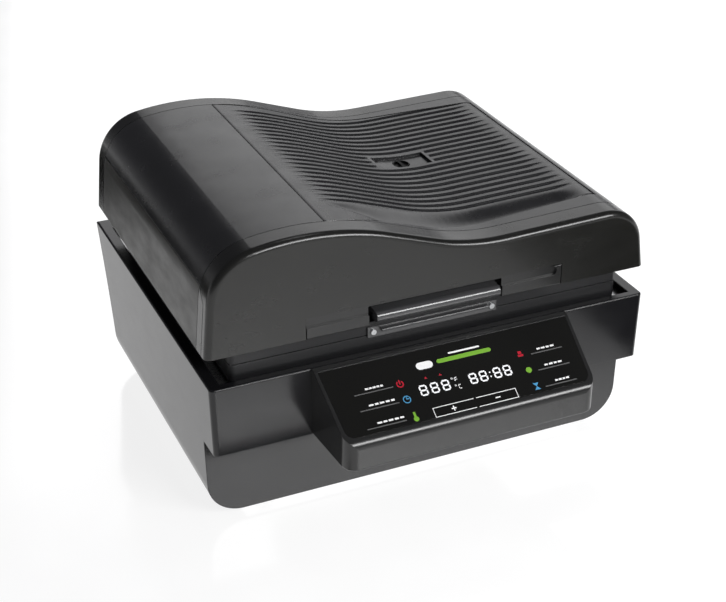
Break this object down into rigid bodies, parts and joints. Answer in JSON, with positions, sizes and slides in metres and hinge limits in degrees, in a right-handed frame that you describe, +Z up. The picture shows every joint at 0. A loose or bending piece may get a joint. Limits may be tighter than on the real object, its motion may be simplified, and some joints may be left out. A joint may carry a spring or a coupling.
{
  "type": "vacuum heat press",
  "caption": "Bench-top vacuum heat press with a hinged humped and ribbed lid, a hinged membrane frame, a deep vacuum chamber and a sloping touch panel.",
  "frame": {"origin": "centre of the bounding box at the bottom of the rubber feet", "axes": "+Z up, front with the control panel towards -Y, +X to the right seen from the front"},
  "size_m": [0.64, 0.637, 0.42],
  "materials": {
    "aluminium": "bright reflector aluminium",
    "black_abs": "semi-gloss moulded ABS",
    "black_steel": "black powder coat",
    "brass": "turned brass",
    "cast_aluminium": "die-cast",
    "ceramic": "white ceramic",
    "chrome": "bright plated wire",
    "coated_aluminium": "black powder coat on cast aluminium",
    "component": "moulded electronic component",
    "display": "seven-segment display",
    "fan_plastic": "glass-filled plastic",
    "gasket": "silicone sponge",
    "handle_abs": "polished moulded ABS",
    "panel_glass": "back-printed black touch glass",
    "pcb": "green circuit board",
    "quartz": "clear quartz",
    "ribbed_abs": "fine-textured moulded ABS",
    "rubber": "black rubber",
    "silicone": "heat-proof silicone sheet",
    "stainless": "brushed stainless steel",
    "wool": "mineral wool board",
    "zinc_steel": "zinc-plated steel"
  },
  "bodies": {
    "base": {"base_shell": "black_abs", "bottom_plate": "zinc_steel", "rubber_feet": "rubber", "deck_plate": "stainless", "hinge_brackets": "black_steel", "hinge_pins": "stainless", "vacuum_chamber": "stainless", "chamber_gasket": "gasket", "perforated_tray": "aluminium", "vacuum_hoses": "silicone", "release_valve": "brass", "pump_motor": "cast_aluminium", "pump_head": "cast_aluminium", "pump_bracket": "zinc_steel", "pump_rubber_mounts": "rubber", "control_board": "pcb", "board_components": "component", "power_supply": "zinc_steel", "base_screws_m4": "zinc_steel", "base_screws_m3": "zinc_steel", "panel_housing": "black_abs", "panel_glass": "panel_glass", "touch_board": "pcb", "digit_displays": "display", "rear_plate": "black_steel", "cooling_fan_frame": "fan_plastic", "fan_guard": "chrome", "mains_inlet": "fan_plastic", "fuse_holder": "fan_plastic", "rocker_switch_body": "fan_plastic"},
    "lid": {"lid_front_cap": "black_abs", "lid_rear_cap": "black_abs", "lid_left_side_panel": "black_abs", "lid_smooth_cover": "black_abs", "lid_ribbed_cover": "ribbed_abs", "lid_right_cover": "black_abs", "vent_cap": "handle_abs", "front_bezel": "black_abs", "lid_handle": "handle_abs", "lid_tray": "black_steel", "lid_screws": "zinc_steel", "heater_casing": "zinc_steel", "insulation": "wool", "reflector": "aluminium", "heater_tubes": "quartz", "tube_holders": "ceramic", "heater_guard": "chrome", "temperature_probe": "stainless", "thermal_cutout": "ceramic", "circulation_motor": "zinc_steel", "lid_hinge_leaves": "black_steel"},
    "membrane_frame": {"lower_frame": "coated_aluminium", "upper_frame": "coated_aluminium", "silicone_membrane": "silicone", "frame_screws": "zinc_steel", "frame_handle": "handle_abs", "frame_hinge_arms": "black_steel"},
    "circulation_fan": {"circulation_fan": "aluminium"},
    "cooling_fan": {"cooling_fan_rotor": "fan_plastic"},
    "rocker": {"rocker": "handle_abs"}
  },
  "joints": [
    {"name": "lid_hinge", "type": "hinge", "parent": "base", "child": "lid", "pos_m": [0, 0.304, 0.262], "axis": [-1, 0, 0], "range_deg": [0, 70]},
    {"name": "membrane_frame_hinge", "type": "hinge", "parent": "base", "child": "membrane_frame", "pos_m": [0, 0.304, 0.262], "axis": [-1, 0, 0], "range_deg": [0, 35]},
    {"name": "circulation_fan_spin", "type": "hinge", "parent": "lid", "child": "circulation_fan", "pos_m": [-0.15, 0.041, 0.33], "axis": [0, 0, 1], "continuous": true},
    {"name": "cooling_fan_spin", "type": "hinge", "parent": "base", "child": "cooling_fan", "pos_m": [0.08, 0.235, 0.095], "axis": [0, 1, 0], "continuous": true},
    {"name": "rocker_tilt", "type": "hinge", "parent": "base", "child": "rocker", "pos_m": [-0.03, 0.246, 0.095], "axis": [-1, 0, 0], "range_deg": [0, 20]}
  ],
  "couplings": [
    {"joint": "membrane_frame_hinge", "follows": "lid_hinge", "ratio": 0.5}
  ]
}
